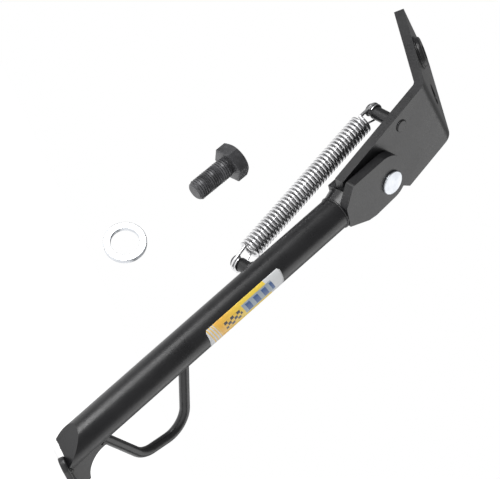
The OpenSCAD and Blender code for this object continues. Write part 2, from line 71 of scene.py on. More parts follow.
@dataclass(frozen=True)
class Places:
    """Local frames of the stand, in millimetres, as matrices into the row's metres."""

    lean: float = 25.0
    pitch: float = 8.6
    leg_forward: float = 13.8
    leg_length: float = 252.0
    bend_y: float = -7.0
    bend_z: float = 53.3 - 10.0 * math.tan(math.radians(26.0))
    bend_angle: float = 52.0
    hole_up: float = 34.5
    bend_inside: float = 4.0
    hole_x: float = -14.0
    post_x: float = 18.0
    post_up: float = 26.7
    spring_back: float = 19.5
    lower_post: float = 98.0

    def plate(self) -> Matrix:
        """Plate frame: X along the bend, Y out of the plate, Z up the plate, on the pivot axis."""
        turn = self.turn()
        flip = Matrix.Diagonal((-MM, MM, MM, 1.0))
        return flip @ Matrix.Translation(-self.hole_in_row()) @ turn

    def turn(self) -> Matrix:
        """Lean and then pitch of the bracket's plate."""
        pitch = Matrix.Rotation(math.radians(-self.pitch), 4, "Y")
        return pitch @ Matrix.Rotation(math.radians(self.lean), 4, "X")

    def hole_in_row(self) -> Vector:
        """Threaded hole's seat, from the pivot, along the row's axes."""
        run = self.bend_z - 53.3 + self.hole_up
        turn = self.turn()
        base = Matrix.Translation((0, self.bend_y, self.bend_z))
        bend = Matrix.Rotation(math.radians(self.bend_angle), 4, "X")
        return turn @ base @ bend @ Vector((self.hole_x, self.bend_inside, run))

    def leg(self) -> Matrix:
        """Leg frame: the leg runs down -Z and the kick loop stands out along +X."""
        return self.plate() @ Matrix.Rotation(math.radians(self.leg_forward), 4, "Y")

    def flange(self) -> Matrix:
        """Flange frame: Z up the flange from the end of the bend, Y through its thickness."""
        base = Matrix.Translation((0, self.bend_y, self.bend_z))
        return self.plate() @ base @ Matrix.Rotation(math.radians(self.bend_angle), 4, "X")

    def hole_flange(self) -> Matrix:
        """Frame on the threaded hole, Z along the hole and out of the flange's outer face."""
        run = self.bend_z - 53.3 + self.hole_up
        spot = Matrix.Translation((self.hole_x, 0, run))
        return self.flange() @ spot @ Matrix.Rotation(math.radians(-90), 4, "X")

    def spring_run(self) -> Vector:
        """Vector from the bracket's spring post to the leg's, in the plate frame."""
        a = math.radians(self.leg_forward)
        return Vector((self.post_x - self.lower_post * math.sin(a), 0,
                       -self.lower_post * math.cos(a) - self.post_up))

    def spring(self) -> Matrix:
        """Spring frame: origin at the bracket's post, the springs run down -Z."""
        run = self.spring_run()
        turn = math.atan2(run.x, -run.z)
        base = Matrix.Translation((-self.post_x, -self.spring_back, self.post_up))
        return self.plate() @ base @ Matrix.Rotation(-turn, 4, "Y")

    def foot(self) -> Matrix:
        """Level frame where the tube's axis meets the foot plate's top."""
        centre = self.leg() @ Vector((0, 0, -self.leg_length))
        return Matrix.Translation(centre) @ Matrix.Scale(MM, 4)


PLACES = Places()


class Side(Enum):
    """End of a spring."""

    UPPER = 1
    LOWER = -1


# ---------------------------------------------------------------- finishes


@dataclass(frozen=True)
class NodeSheet:
    """Thin helper round a material's node tree."""

    material: bpy.types.Material

    def add(self, kind: str, **values: object) -> bpy.types.Node:
        """Add a node and set its properties.

        Args:
            kind: node type name without the ShaderNode prefix.
            values: properties of the node.

        Returns:
            The new node.
        """
        node = self.material.node_tree.nodes.new("ShaderNode" + kind)
        for key, value in values.items():
            setattr(node, key, value)
        return node

    def link(self, source: bpy.types.NodeSocket, target: bpy.types.NodeSocket) -> None:
        """Join two sockets."""
        self.material.node_tree.links.new(source, target)

    def noise(self, place: bpy.types.NodeSocket, scale: float, detail: float = 4.0,
              rough: float = 0.55) -> bpy.types.NodeSocket:
        """Noise pattern.

        Args:
            place: coordinates socket.
            scale: pattern scale per metre.
            detail: octaves.
            rough: roughness of the octaves.

        Returns:
            The factor socket.
        """
        node = self.add("TexNoise")
        node.inputs["Scale"].default_value = scale
        node.inputs["Detail"].default_value = detail
        node.inputs["Roughness"].default_value = rough
        self.link(place, node.inputs["Vector"])
        return node.outputs["Fac"]

    def ramp(self, source: bpy.types.NodeSocket, low: float, high: float, first: float,
             last: float) -> bpy.types.NodeSocket:
        """Map a range of numbers to another.

        Args:
            source: number socket.
            low: start of the source range.
            high: end of the source range.
            first: value at the start.
            last: value at the end.

        Returns:
            The mapped number socket.
        """
        node = self.add("MapRange")
        for key, value in zip(("From Min", "From Max", "To Min", "To Max"),
                              (low, high, first, last)):
            node.inputs[key].default_value = value
        self.link(source, node.inputs["Value"])
        return node.outputs["Result"]

    def math(self, operation: str, first: object, second: object = 0.0) -> bpy.types.NodeSocket:
        """Math node of two numbers or sockets.

        Args:
            operation: name of the operation.
            first: number or socket.
            second: number or socket.

        Returns:
            The result socket.
        """
        node = self.add("Math", operation=operation)
        for slot, value in zip(node.inputs, (first, second)):
            if isinstance(value, (int, float)):
                slot.default_value = value
            else:
                self.link(value, slot)
        return node.outputs[0]

    def within(self, value: bpy.types.NodeSocket,
               limits: tuple[float, float]) -> bpy.types.NodeSocket:
        """Mask of the values between two limits.

        Args:
            value: number socket.
            limits: low and high limit.

        Returns:
            The mask socket.
        """
        return self.math("MULTIPLY", self.math("GREATER_THAN", value, limits[0]),
                         self.math("LESS_THAN", value, limits[1]))

    def mix(self, factor: bpy.types.NodeSocket, first: object,
            second: object) -> bpy.types.NodeSocket:
        """Mix two colours.

        Args:
            factor: number socket.
            first: colour or socket at 0.
            second: colour or socket at 1.

        Returns:
            The colour socket.
        """
        node = self.add("Mix", data_type="RGBA")
        self.link(factor, node.inputs["Factor"])
        for slot, value in ((node.inputs[6], first), (node.inputs[7], second)):
            if isinstance(value, tuple):
                slot.default_value = (*value, 1.0)
            else:
                self.link(value, slot)
        return node.outputs[2]

    def bump(self, height: bpy.types.NodeSocket, depth: float, strength: float,
             under: bpy.types.NodeSocket | None = None) -> bpy.types.NodeSocket:
        """Bump from a height.

        Args:
            height: height socket.
            depth: distance in metres.
            strength: strength of the bump.
            under: normal of a coarser bump, if any.

        Returns:
            The normal socket.
        """
        node = self.add("Bump")
        node.inputs["Strength"].default_value = strength
        node.inputs["Distance"].default_value = depth
        self.link(height, node.inputs["Height"])
        if under is not None:
            self.link(under, node.inputs["Normal"])
        return node.outputs["Normal"]


def new_material(name: str) -> tuple[NodeSheet, bpy.types.Node, bpy.types.NodeSocket]:
    """Start a material.

    Args:
        name: material name.

    Returns:
        The node helper, the shader and the object coordinates.
    """
    material = bpy.data.materials.new(name)
    material.use_nodes = True
    sheet = NodeSheet(material)
    shader = material.node_tree.nodes["Principled BSDF"]
    place = sheet.add("TexCoord").outputs["Object"]
    return sheet, shader, place


@dataclass(frozen=True)
class Paint:
    """Semi-gloss paint with a fine orange-peel skin and faint scuffs."""

    name: str
    dark: tuple[float, float, float]
    light: tuple[float, float, float]
    roughness: float
    peel: float = 0.35
    coarse: float = 0.0

    def build(self) -> bpy.types.Material:
        """Build the material."""
        sheet, shader, place = new_material(self.name)
        cloud = sheet.noise(place, 38.0, 5.0)
        speck = sheet.noise(place, 900.0, 3.0)
        tone = sheet.mix(sheet.ramp(cloud, 0.3, 0.7, 0.0, 1.0), self.dark, self.light)
        fleck = sheet.ramp(sheet.noise(place, 2300.0, 1.0), 0.72, 0.76, 0.0, 0.5)
        tone = sheet.mix(fleck, tone, tuple(min(1.0, c * 2.6) for c in self.light))
        sheet.link(tone, shader.inputs["Base Color"])
        rough = sheet.math("ADD", sheet.ramp(cloud, 0.3, 0.7, -0.05, 0.05),
                           sheet.ramp(speck, 0.3, 0.7, self.roughness - 0.05,
                                      self.roughness + 0.06))
        sheet.link(rough, shader.inputs["Roughness"])
        normal = sheet.bump(speck, 0.00012, self.peel)
        if self.coarse:
            normal = sheet.bump(sheet.noise(place, 260.0, 3.0), 0.0006, self.coarse, normal)
        sheet.link(normal, shader.inputs["Normal"])
        shader.inputs["Specular IOR Level"].default_value = 0.5
        return sheet.material


@dataclass(frozen=True)
class Metal:
    """Bare or plated metal with fine drawing lines and faint stains."""

    name: str
    dark: tuple[float, float, float]
    light: tuple[float, float, float]
    roughness: float
    line_scale: tuple[float, float, float] = (300.0, 300.0, 2400.0)
    line_bump: float = 0.1
    metallic: float = 1.0

    def build(self) -> bpy.types.Material:
        """Build the material."""
        sheet, shader, place = new_material(self.name)
        shader.inputs["Metallic"].default_value = self.metallic
        stain = sheet.noise(place, 120.0, 5.0)
        sheet.link(sheet.mix(sheet.ramp(stain, 0.35, 0.65, 0.0, 1.0), self.dark, self.light),
                   shader.inputs["Base Color"])
        stretch = sheet.add("Mapping")
        stretch.inputs["Scale"].default_value = self.line_scale
        sheet.link(place, stretch.inputs["Vector"])
        line = sheet.noise(stretch.outputs["Vector"], 1.0, 3.0)
        rough = sheet.math("ADD", sheet.ramp(line, 0.3, 0.7, self.roughness - 0.04,
                                             self.roughness + 0.05),
                           sheet.ramp(stain, 0.3, 0.7, -0.03, 0.04))
        sheet.link(rough, shader.inputs["Roughness"])
        sheet.link(sheet.bump(line, 0.00006, self.line_bump), shader.inputs["Normal"])
        return sheet.material


@dataclass(frozen=True)
class LabelPrint:
    """Printed film: white ends, a yellow to orange field, stripes, chequers and plain blocks."""

    name: str = "label_print"
    uv_name: str = "label_uv"
    ends: tuple[float, float, float] = (0.62, 0.63, 0.64)
    orange: tuple[float, float, float] = (0.86, 0.44, 0.06)
    yellow: tuple[float, float, float] = (0.82, 0.60, 0.06)
    stripe: tuple[float, float, float] = (0.80, 0.52, 0.12)
    check: tuple[float, float, float] = (0.05, 0.05, 0.06)
    block_edge: tuple[float, float, float] = (0.30, 0.36, 0.42)
    block: tuple[float, float, float] = (0.03, 0.09, 0.26)
    dust: tuple[float, float, float] = (0.5, 0.5, 0.5)
    slope: float = 0.06
    field_run: tuple[float, float] = (0.16, 0.84)
    stripe_run: tuple[float, float] = (0.06, 0.2)
    stripe_wave: float = 190.0
    stripe_level: float = 0.15
    check_run: tuple[float, float] = (0.24, 0.47)
    check_rows: tuple[float, float] = (0.28, 0.72)
    check_grid: tuple[float, float, float] = (24.0, 7.0, 1.0)
    block_run: tuple[float, float] = (0.5, 0.9)
    block_rows: tuple[float, float] = (0.22, 0.8)
    block_wave: float = 58.0
    block_level: float = -0.2
    block_half: float = 0.22

    def build(self) -> bpy.types.Material:
        """Build the material."""
        sheet, shader, _ = new_material(self.name)
        place = sheet.add("UVMap", uv_map=self.uv_name).outputs["UV"]
        split = sheet.add("SeparateXYZ")
        sheet.link(place, split.inputs["Vector"])
        along, across = split.outputs["X"], split.outputs["Y"]
        slant = sheet.math("ADD", along, sheet.math("MULTIPLY", across, self.slope))
        tone = self.ground(sheet, along, slant)
        tone = self.chequers(sheet, place, slant, across, tone)
        tone = self.blocks(sheet, slant, across, tone)
        grain = sheet.noise(place, 90.0, 3.0)
        worn = sheet.mix(sheet.ramp(grain, 0.35, 0.7, 0.0, 0.12), tone, self.dust)
        sheet.link(worn, shader.inputs["Base Color"])
        sheet.link(sheet.ramp(grain, 0.3, 0.7, 0.28, 0.42), shader.inputs["Roughness"])
        sheet.link(sheet.bump(grain, 0.00003, 0.2), shader.inputs["Normal"])
        return sheet.material

    def wave(self, sheet: NodeSheet, place: bpy.types.NodeSocket, rate: float,
             level: float) -> bpy.types.NodeSocket:
        """Mask of evenly spaced bars.

        Args:
            sheet: node helper.
            place: number along the film.
            rate: rate of the bars.
            level: sine value past which there is a bar.

        Returns:
            The mask socket.
        """
        sine = sheet.math("SINE", sheet.math("MULTIPLY", place, rate))
        return sheet.math("GREATER_THAN", sine, level)

    def ground(self, sheet: NodeSheet, along: bpy.types.NodeSocket,
               slant: bpy.types.NodeSocket) -> bpy.types.NodeSocket:
        """Coloured field between white ends, with stripes at its start.

        Args:
            sheet: node helper.
            along: number along the film.
            slant: the same, slanted across the film.

        Returns:
            The colour socket.
        """
        fade = sheet.ramp(along, 0.1, 0.5, 0.0, 1.0)
        tone = sheet.mix(sheet.within(slant, self.field_run), self.ends,
                         sheet.mix(fade, self.orange, self.yellow))
        bars = self.wave(sheet, slant, self.stripe_wave, self.stripe_level)
        bars = sheet.math("MULTIPLY", bars, sheet.within(slant, self.stripe_run))
        return sheet.mix(bars, tone, self.stripe)

    def chequers(self, sheet: NodeSheet, place: bpy.types.NodeSocket,
                 slant: bpy.types.NodeSocket, across: bpy.types.NodeSocket,
                 tone: bpy.types.NodeSocket) -> bpy.types.NodeSocket:
        """Patch of chequers.

        Args:
            sheet: node helper.
            place: flat coordinates of the film.
            slant: slanted number along the film.
            across: number across it.
            tone: colour under the patch.

        Returns:
            The colour socket.
        """
        checks = sheet.add("TexChecker")
        checks.inputs["Scale"].default_value = 1.0
        grid = sheet.add("Mapping")
        grid.inputs["Scale"].default_value = self.check_grid
        sheet.link(place, grid.inputs["Vector"])
        sheet.link(grid.outputs["Vector"], checks.inputs["Vector"])
        patch = sheet.math("MULTIPLY", sheet.within(slant, self.check_run),
                           sheet.within(across, self.check_rows))
        return sheet.mix(sheet.math("MULTIPLY", patch, checks.outputs["Fac"]), tone, self.check)

    def blocks(self, sheet: NodeSheet, slant: bpy.types.NodeSocket,
               across: bpy.types.NodeSocket,
               tone: bpy.types.NodeSocket) -> bpy.types.NodeSocket:
        """Row of plain blocks on a pale bar.

        Args:
            sheet: node helper.
            slant: slanted number along the film.
            across: number across it.
            tone: colour under the row.

        Returns:
            The colour socket.
        """
        bar = sheet.math("MULTIPLY", sheet.within(slant, self.block_run),
                         sheet.within(across, self.block_rows))
        off = sheet.math("ABSOLUTE", sheet.math("SUBTRACT", across, 0.5))
        core = sheet.math("MULTIPLY", bar, sheet.math(
            "MULTIPLY", self.wave(sheet, slant, self.block_wave, self.block_level),
            sheet.math("LESS_THAN", off, self.block_half)))
        return sheet.mix(core, sheet.mix(bar, tone, self.block_edge), self.block)


@dataclass
class Finishes:
    """All finishes of the stand, built once."""

    paint: bpy.types.Material = field(init=False)
    weld: bpy.types.Material = field(init=False)
    zinc: bpy.types.Material = field(init=False)
    wire: bpy.types.Material = field(init=False)
    bearing: bpy.types.Material = field(init=False)
    oxide: bpy.types.Material = field(init=False)
    label: bpy.types.Material = field(init=False)
    floor: bpy.types.Material = field(init=False)

    def __post_init__(self) -> None:
        """Build every finish."""
        self.paint = Paint("black_paint", (0.007, 0.007, 0.008), (0.012, 0.012, 0.013),
                           0.33).build()
        self.weld = Paint("painted_weld", (0.006, 0.006, 0.007), (0.011, 0.011, 0.012), 0.33,
                          0.4, 0.5).build()
        self.zinc = Metal("zinc_plate", (0.48, 0.50, 0.53), (0.64, 0.66, 0.69), 0.34).build()
        self.wire = Metal("plated_wire", (0.55, 0.55, 0.56), (0.72, 0.72, 0.73), 0.2,
                          (900.0, 900.0, 900.0), 0.08).build()
        self.bearing = Metal("bearing_steel", (0.40, 0.39, 0.38), (0.55, 0.54, 0.53),
                             0.32).build()
        self.oxide = Metal("black_oxide", (0.035, 0.035, 0.037), (0.075, 0.075, 0.08), 0.38,
                           (700.0, 700.0, 700.0), 0.25, 0.35).build()
        self.label = LabelPrint().build()
        self.floor = Paint("floor", (0.88, 0.88, 0.88), (0.90, 0.90, 0.90), 0.9, 0.0).build()
        shader = self.floor.node_tree.nodes["Principled BSDF"]
        shader.inputs["Emission Color"].default_value = (1.0, 1.0, 1.0, 1.0)
        shader.inputs["Emission Strength"].default_value = FLOOR_GLOW


# ---------------------------------------------------------------- meshes


def add_object(name: str, mesh: bpy.types.Mesh,
               material: bpy.types.Material) -> bpy.types.Object:
    """Put a mesh into the scene as a piece at the origin.

    Args:
        name: piece name.
        mesh: its mesh, in row metres.
        material: its only material.

    Returns:
        The object.
    """
    mesh.materials.clear()
    mesh.materials.append(material)
    made = bpy.data.objects.new(name, mesh)
    bpy.context.scene.collection.objects.link(made)
    LOG.info("%s: %d faces", name, len(mesh.polygons))
    return made


def mesh_of(name: str, points: list[Vector], faces: list[tuple[int, ...]],
            place: Matrix, sharp: float = 35.0) -> bpy.types.Mesh:
    """Closed mesh from points and faces with outward normals.

    Args:
        name: mesh name.
        points: corners in the place's own millimetres.
        faces: corner numbers of each face.
        place: matrix into row metres.
        sharp: angle past which an edge stays sharp, in degrees.

    Returns:
        The mesh.
    """
    mesh = bpy.data.meshes.new(name)
    mesh.from_pydata([place @ p for p in points], [], faces)
    shape = bmesh.new()
    shape.from_mesh(mesh)
    bmesh.ops.remove_doubles(shape, verts=shape.verts, dist=1e-7)
    bmesh.ops.recalc_face_normals(shape, faces=shape.faces)
    shape.to_mesh(mesh)
    shape.free()
    mesh.shade_smooth()
    mesh.set_sharp_from_angle(angle=math.radians(sharp))
    return mesh


def baked(made: bpy.types.Object) -> bpy.types.Object:
    """Apply an object's modifiers.

    Args:
        made: object with live modifiers.

    Returns:
        The same object with a plain mesh and no modifiers.
    """
    view = bpy.context.evaluated_depsgraph_get()
    mesh = bpy.data.meshes.new_from_object(made.evaluated_get(view), depsgraph=view)
    made.modifiers.clear()
    made.data = mesh
    return made


def rounded_copy(node: str, material: bpy.types.Material, width: float,
                 steps: int = 2, suffix: str = "_body") -> bpy.types.Object:
    """Copy of a CAD node with its sharp edges rounded, standing for that node.

    Args:
        node: CAD node name.
        material: finish of the copy.
        width: width of the rounding in millimetres.
        steps: segments of the rounding.
        suffix: end of the piece's name.

    Returns:
        The finished piece.
    """
    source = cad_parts[node]
    mesh = source.data.copy()
    shape = bmesh.new()
    shape.from_mesh(mesh)
    bmesh.ops.remove_doubles(shape, verts=shape.verts, dist=MERGE_GAP)
    bmesh.ops.dissolve_limit(shape, angle_limit=FLAT_ANGLE, verts=shape.verts,
                             edges=shape.edges)
    shape.to_mesh(mesh)
    shape.free()
    mesh.shade_smooth()
    made = add_object(node + suffix, mesh, material)
    soften = made.modifiers.new("round", "BEVEL")
    soften.width = width * MM
    soften.segments = steps
    soften.limit_method = "ANGLE"
    soften.angle_limit = ROUND_ANGLE
    soften.miter_outer = "MITER_ARC"
    soften.harden_normals = False
    even = made.modifiers.new("even", "WEIGHTED_NORMAL")
    even.weight = 60
    even.keep_sharp = False
    baked(made)
    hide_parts(node)
    return made


def tube_along(path: list[Vector], radii: list[float], sides: int, closed: bool) -> tuple[
        list[Vector], list[tuple[int, ...]]]:
    """Round skin along a path, with a radius at each point.

    Args:
        path: points of the middle line.
        radii: radius at each point.
        sides: points round the skin.
        closed: True if the path ends where it begins.

    Returns:
        Points and faces.
    """
    count = len(path)
    points: list[Vector] = []
    side = Vector((0, 0, 1))
    for i, here in enumerate(path):
        after = path[(i + 1) % count] if closed or i < count - 1 else here
        before = path[i - 1] if closed or i else here
        ahead = (after - before).normalized()
        side = side - ahead * side.dot(ahead)
        if side.length < 1e-6:
            side = ahead.orthogonal()
        side.normalize()
        other = ahead.cross(side)
        for k in range(sides):
            a = 2 * math.pi * k / sides
            points.append(here + radii[i] * (math.cos(a) * side + math.sin(a) * other))
    faces: list[tuple[int, ...]] = []
    spans = count if closed else count - 1
    shift = 0
    if closed:
        last = points[(count - 1) * sides]
        shift = min(range(sides), key=lambda k: (points[k] - last).length)
    for i in range(spans):
        j = (i + 1) % count
        offset = shift if closed and j == 0 else 0
        for k in range(sides):
            m = (k + 1) % sides
            faces.append((i * sides + k, i * sides + m, j * sides + (m + offset) % sides,
                          j * sides + (k + offset) % sides))
    if not closed:
        faces.append(tuple(range(sides)))
        faces.append(tuple(reversed(range((count - 1) * sides, count * sides))))
    return points, faces


def weld_bead(name: str, path: list[Vector], place: Matrix, radius: float, closed: bool,
              material: bpy.types.Material, seed: int) -> bpy.types.Object:
    """Weld bead with overlapping ripples along a path.

    Args:
        name: piece name.
        path: points of the joint line in the place's millimetres.
        place: matrix into row metres.
        radius: mean bead radius in millimetres.
        closed: True for a ring.
        material: finish.
        seed: seed of the uneven width.

    Returns:
        The bead.
    """
    dice = random.Random(seed)
    drift = dice.random() * 50
    length = 0.0
    radii: list[float] = []
    for i, here in enumerate(path):
        if i:
            length += (here - path[i - 1]).length
        ripple = 0.5 + 0.5 * math.cos(2 * math.pi * length / RIPPLE_STEP)
        uneven = noise.noise(Vector((length * 0.35 + drift, seed, 0.0)))
        radii.append(radius * (0.86 + 0.16 * ripple ** 2 + 0.16 * uneven))
    if not closed:
        radii[0] = radii[-1] = radius * 0.35
        radii[1] = radii[-2] = radius * 0.7
    points, faces = tube_along(path, radii, 10, closed)
    return add_object(name, mesh_of(name, points, faces, place, 80), material)


def node_group(name: str, inputs: list[tuple[str, str, object]]) -> tuple[
        bpy.types.NodeTree, bpy.types.Node, bpy.types.Node]:
    """New geometry tree with named inputs.

    Args:
        name: tree name.
        inputs: name, socket type and default of each input after the geometry.

    Returns:
        The tree, its input node and its output node.
    """
    tree = bpy.data.node_groups.new(name, "GeometryNodeTree")
    tree.interface.new_socket("Geometry", in_out="INPUT", socket_type="NodeSocketGeometry")
    tree.interface.new_socket("Geometry", in_out="OUTPUT", socket_type="NodeSocketGeometry")
    for label, kind, value in inputs:
        slot = tree.interface.new_socket(label, in_out="INPUT", socket_type=kind)
        if value is not None:
            slot.default_value = value
    return tree, tree.nodes.new("NodeGroupInput"), tree.nodes.new("NodeGroupOutput")


def close_tree(tree: bpy.types.NodeTree, made: bpy.types.NodeSocket,
               start: bpy.types.Node, end: bpy.types.Node) -> None:
    """End a tree with smooth shading, Realize Instances and Set Material.

    Args:
        tree: the tree.
        made: geometry socket to finish.
        start: group input node, which has a Material input.
        end: group output node.
    """
    smooth = tree.nodes.new("GeometryNodeSetShadeSmooth")
    real = tree.nodes.new("GeometryNodeRealizeInstances")
    dress = tree.nodes.new("GeometryNodeSetMaterial")
    tree.links.new(made, smooth.inputs["Geometry"])
    tree.links.new(smooth.outputs["Geometry"], real.inputs["Geometry"])
    tree.links.new(real.outputs["Geometry"], dress.inputs["Geometry"])
    tree.links.new(start.outputs["Material"], dress.inputs["Material"])
    tree.links.new(dress.outputs["Geometry"], end.inputs["Geometry"])


def wire_tree() -> bpy.types.NodeTree:
    """Tree that lays round wire along the input's edges."""
    tree, start, end = node_group("wire_along_path", [
        ("Wire Radius", "NodeSocketFloat", 0.001), ("Sides", "NodeSocketInt", 16),
        ("Material", "NodeSocketMaterial", None)])
    path = tree.nodes.new("GeometryNodeMeshToCurve")
    ring = tree.nodes.new("GeometryNodeCurvePrimitiveCircle")
    skin = tree.nodes.new("GeometryNodeCurveToMesh")
    skin.inputs["Fill Caps"].default_value = True
    tree.links.new(start.outputs["Geometry"], path.inputs["Mesh"])
    tree.links.new(start.outputs["Wire Radius"], ring.inputs["Radius"])
    tree.links.new(start.outputs["Sides"], ring.inputs["Resolution"])
    tree.links.new(path.outputs["Curve"], skin.inputs["Curve"])
    tree.links.new(ring.outputs["Curve"], skin.inputs["Profile Curve"])
    close_tree(tree, skin.outputs["Mesh"], start, end)
    return tree


def run_tree(made: bpy.types.Object, tree: bpy.types.NodeTree,
             values: dict[str, object]) -> bpy.types.Object:
    """Run a geometry tree on an object and keep the plain result.

    Args:
        made: object that carries the input.
        tree: the tree.
        values: value of each named input.

    Returns:
        The object with its finished mesh.
    """
    step = made.modifiers.new("build", "NODES")
    step.node_group = tree
    for item in tree.interface.items_tree:
        if item.in_out == "INPUT" and item.name in values:
            step[item.identifier] = values[item.name]
    return baked(made)


@dataclass
class WireShop:
    """Makes wire and rod pieces with one shared tree."""

    tree: bpy.types.NodeTree = field(default_factory=wire_tree)

    def wire(self, name: str, path: list[Vector], place: Matrix, radius: float,
             material: bpy.types.Material, sides: int = 14) -> bpy.types.Object:
        """Lay wire along a path.

        Args:
            name: piece name.
            path: points in the place's millimetres.
            place: matrix into row metres.
            radius: wire radius in millimetres.
            material: finish.
            sides: points round the wire.

        Returns:
            The piece.
        """
        mesh = bpy.data.meshes.new(name)
        mesh.from_pydata([place @ p for p in path],
                         [(i, i + 1) for i in range(len(path) - 1)], [])
        made = add_object(name, mesh, material)
        return run_tree(made, self.tree, {"Wire Radius": radius * MM, "Sides": sides,
                                          "Material": material})


def thread_tree() -> bpy.types.NodeTree:
    """Tree that winds a pointed ridge round Z, from the origin upwards."""
    tree, start, end = node_group("thread_ridge", [
        ("Turns", "NodeSocketFloat", 10.0), ("Radius", "NodeSocketFloat", 0.006),
        ("Length", "NodeSocketFloat", 0.02), ("Ridge", "NodeSocketFloat", 0.0006),
        ("Material", "NodeSocketMaterial", None)])
    helix = tree.nodes.new("GeometryNodeCurveSpiral")
    helix.inputs["Resolution"].default_value = 36
    ring = tree.nodes.new("GeometryNodeCurvePrimitiveCircle")
    ring.inputs["Resolution"].default_value = 4
    skin = tree.nodes.new("GeometryNodeCurveToMesh")
    skin.inputs["Fill Caps"].default_value = True
    tree.links.new(start.outputs["Turns"], helix.inputs["Rotations"])
    tree.links.new(start.outputs["Radius"], helix.inputs["Start Radius"])
    tree.links.new(start.outputs["Radius"], helix.inputs["End Radius"])
    tree.links.new(start.outputs["Length"], helix.inputs["Height"])
    tree.links.new(start.outputs["Ridge"], ring.inputs["Radius"])
    tree.links.new(helix.outputs["Curve"], skin.inputs["Curve"])
    tree.links.new(ring.outputs["Curve"], skin.inputs["Profile Curve"])
    close_tree(tree, skin.outputs["Mesh"], start, end)
    return tree


def moved(made: bpy.types.Object, place: Matrix) -> bpy.types.Object:
    """Move a piece's mesh and leave the object at the origin.

    Args:
        made: the piece.
        place: matrix applied to the mesh.

    Returns:
        The piece.
    """
    made.data.transform(place)
    made.data.update()
    return made


def lathe(name: str, outline: list[tuple[float, float]], place: Matrix, steps: int = 64,
          closed: bool = False) -> bpy.types.Mesh:
    """Solid of revolution round Z.

    Args:
        name: mesh name.
        outline: radius and height of each corner, in millimetres.
        place: matrix into row metres.
        steps: points round the axis.
        closed: True if the outline is a loop, such as a ring's section.

    Returns:
        The mesh.
    """
    points: list[Vector] = []
    for r, z in outline:
        for k in range(steps):
            a = 2 * math.pi * k / steps
            points.append(Vector((r * math.cos(a), r * math.sin(a), z)))
    rows = len(outline)
    faces: list[tuple[int, ...]] = []
    for i in range(rows if closed else rows - 1):
        j = (i + 1) % rows
        for k in range(steps):
            m = (k + 1) % steps
            faces.append((i * steps + k, i * steps + m, j * steps + m, j * steps + k))
    if not closed:
        faces.append(tuple(range(steps)))
        faces.append(tuple(range((rows - 1) * steps, rows * steps)))
    return mesh_of(name, points, faces, place, 30)


# ---------------------------------------------------------------- sub-assemblies


@dataclass
class Bracket:
    """Bent bracket with its threaded bush and spring post."""

    finishes: Finishes
    edge: float = 0.8
    post_edge: float = 0.3
    bush_radius: float = 9.3
    collar_height: float = 3.4
    thread_radius: float = 5.1
    outer_face: float = 10.0

    def build(self) -> None:
        """Build every piece of the bracket."""
        for node, width, steps in (("bracket_plate", self.edge, 3),
                                   ("bracket_spring_post", self.post_edge, 2)):
            made = rounded_copy(node, self.finishes.paint, width, steps)
            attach(made, "bracket")
        self.bush()
        self.bush_bead()

    def bush(self) -> None:
        """Threaded bush with a chamfered collar and a cut thread."""
        low, top = self.outer_face - 6.0, self.outer_face + self.collar_height
        r = self.thread_radius
        outline = [(r + 0.9, low), (7.5, low), (7.5, self.outer_face), (self.bush_radius,
                   self.outer_face), (self.bush_radius, top - 1.0),
                   (self.bush_radius - 0.35, top - 0.35), (self.bush_radius - 1.0, top),
                   (r + 1.1, top), (r + 0.55, top - 0.5)]
        turns = 5
        run = (top - 0.5 - low - 0.8) / turns
        for i in range(turns):
            z = top - 0.5 - i * run
            outline += [(r + 0.05, z - run * 0.4), (r + 0.55, z - run * 0.98)]
        place = PLACES.hole_flange()
        mesh = lathe("threaded_bush_cut", outline, place, 64, True)
        made = add_object("threaded_bush_cut", mesh, self.finishes.paint)
        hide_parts("threaded_bush")
        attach(made, "bracket")

    def bush_bead(self) -> None:
        """Weld bead round the bush's collar."""
        path = ring_path(self.bush_radius + 0.1, self.outer_face + 0.25, 96)
        made = weld_bead("bush_bead", path, PLACES.hole_flange(), 0.95, True,
                         self.finishes.weld, 3)
        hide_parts("bush_weld")
        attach(made, "bracket")


def ring_path(radius: float, height: float, steps: int) -> list[Vector]:
    """Points of a ring round Z.

    Args:
        radius: ring radius.
        height: its height.
        steps: number of points.

    Returns:
        The points.
    """
    return [Vector((radius * math.cos(2 * math.pi * k / steps),
                    radius * math.sin(2 * math.pi * k / steps), height)) for k in range(steps)]


@dataclass
class Pivot:
    """Pin, sleeve and washers of the pivot."""

    finishes: Finishes

    def build(self) -> None:
        """Round the pin and its retainer and dress the hidden bearings."""
        self.finish(rounded_copy("pivot_pin", self.finishes.zinc, 0.5, 3), "zinc_plate")
        self.finish(rounded_copy("pin_retainer", self.finishes.zinc, 0.3), "zinc_plate")
        for node in ("pivot_sleeve", "front_thrust_washer", "rear_thrust_washer"):
            self.finish(rounded_copy(node, self.finishes.bearing, 0.2), "bearing_steel")

    def finish(self, made: bpy.types.Object, slot: str) -> None:
        """Join a piece to the leg."""
        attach(made, "leg")


